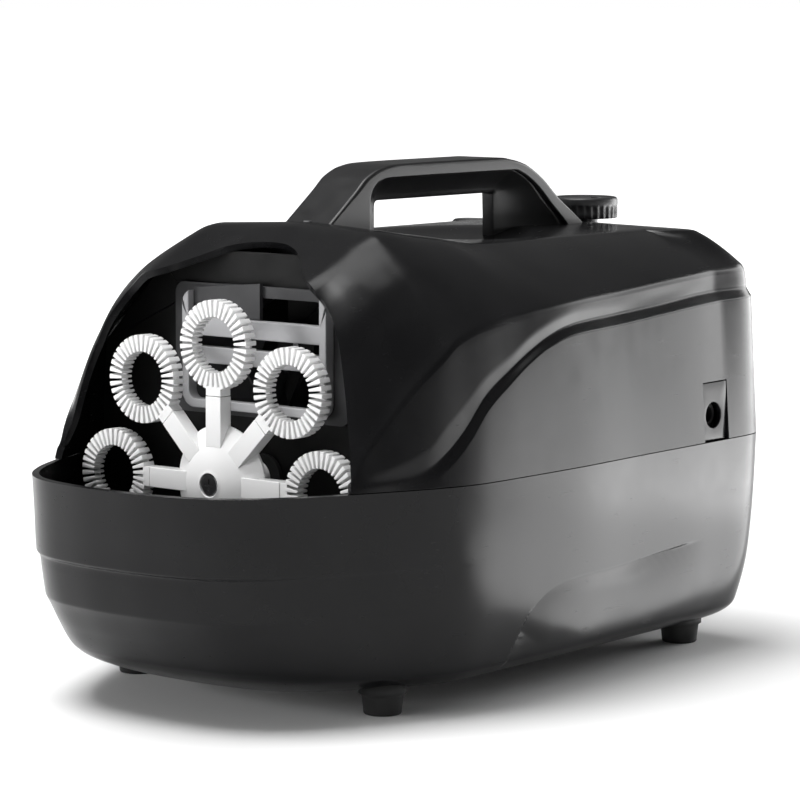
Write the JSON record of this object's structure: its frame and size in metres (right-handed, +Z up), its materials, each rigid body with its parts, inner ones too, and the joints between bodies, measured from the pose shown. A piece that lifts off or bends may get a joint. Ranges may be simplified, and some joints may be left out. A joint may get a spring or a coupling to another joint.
{
  "type": "bubble machine",
  "caption": "Portable bubble machine: a wheel of finned wands dips in a front tank and turns before a small fan, in a black two-part casing with a top handle.",
  "frame": {"origin": "on the resting surface, under the middle of the casing's width and 1.6 mm in front of the middle of its length", "axes": "+Z up, +Y from the open mouth towards the rear, +X to the side with the power inlet"},
  "size_m": [0.163, 0.26, 0.171],
  "materials": {
    "shell_black": "semi-gloss black moulded ABS",
    "handle_black": "satin black moulded ABS",
    "inner_black": "matt black moulding",
    "duct_grey": "matt dark grey moulding",
    "grille_grey": "light grey moulding",
    "wand_white": "satin white moulding",
    "knob_black": "satin black moulding",
    "seal_rubber": "soft black rubber",
    "foot_rubber": "matt black rubber",
    "steel": "zinc plated",
    "motor_steel": "drawn steel can",
    "contact_steel": "nickel plated",
    "board_green": "coated laminate"
  },
  "bodies": {
    "casing": {"lower_shell": "shell_black", "upper_shell": "shell_black", "handle": "handle_black", "bulkhead": "inner_black", "shaft_seal": "seal_rubber", "fan_duct": "duct_grey", "outlet_grille": "grille_grey", "outlet_baffle": "duct_grey", "fan_housing": "duct_grey", "fan_motor": "motor_steel", "gearbox_case": "grille_grey", "gearbox_cover": "grille_grey", "gear_pins": "steel", "wheel_motor": "motor_steel", "battery_box": "inner_black", "battery_contacts": "contact_steel", "battery_door": "shell_black", "door_screw": "steel", "circuit_board": "board_green", "dc_socket": "inner_black", "port_plate": "shell_black", "rotary_switch": "duct_grey", "case_screws": "steel", "handle_screws": "steel", "gearbox_screws": "steel", "fan_screws": "steel", "foot_front_left": "foot_rubber", "foot_front_right": "foot_rubber", "foot_rear_left": "foot_rubber", "foot_rear_right": "foot_rubber"},
    "wand_wheel": {"wheel_spider": "wand_white", "hub_screw": "steel", "wheel_shaft": "steel", "output_gear": "wand_white", "wand_ring_1": "wand_white", "wand_ring_2": "wand_white", "wand_ring_3": "wand_white", "wand_ring_4": "wand_white", "wand_ring_5": "wand_white", "wand_ring_6": "wand_white", "wand_ring_7": "wand_white", "wand_ring_8": "wand_white"},
    "reduction_gear_b": {"reduction_gear_2": "wand_white"},
    "reduction_gear_a": {"reduction_gear_1": "wand_white"},
    "motor_rotor": {"motor_pinion": "steel"},
    "fan": {"fan_rotor": "inner_black", "fan_shaft": "steel"},
    "knob": {"speed_knob": "knob_black", "switch_spindle": "wand_white"}
  },
  "joints": [
    {"name": "wheel_spin", "type": "hinge", "parent": "casing", "child": "wand_wheel", "pos_m": [0, -0.0765, 0.0707], "axis": [0, 1, 0], "continuous": true},
    {"name": "gear_b_spin", "type": "hinge", "parent": "casing", "child": "reduction_gear_b", "pos_m": [-0.01273, -0.043, 0.05797], "axis": [0, 1, 0], "continuous": true},
    {"name": "gear_a_spin", "type": "hinge", "parent": "casing", "child": "reduction_gear_a", "pos_m": [-0.0017, -0.039, 0.04872], "axis": [0, 1, 0], "continuous": true},
    {"name": "motor_spin", "type": "hinge", "parent": "casing", "child": "motor_rotor", "pos_m": [0.01307, -0.037, 0.05132], "axis": [0, 1, 0], "continuous": true},
    {"name": "fan_spin", "type": "hinge", "parent": "casing", "child": "fan", "pos_m": [0, -0.033, 0.1125], "axis": [0, 1, 0], "continuous": true},
    {"name": "knob_turn", "type": "hinge", "parent": "casing", "child": "knob", "pos_m": [0, 0.1185, 0.15], "axis": [0, 0, 1], "range_deg": [-90, 0]}
  ],
  "couplings": [
    {"joint": "gear_b_spin", "follows": "wheel_spin", "ratio": -4},
    {"joint": "gear_a_spin", "follows": "wheel_spin", "ratio": 12},
    {"joint": "motor_spin", "follows": "wheel_spin", "ratio": -48}
  ]
}
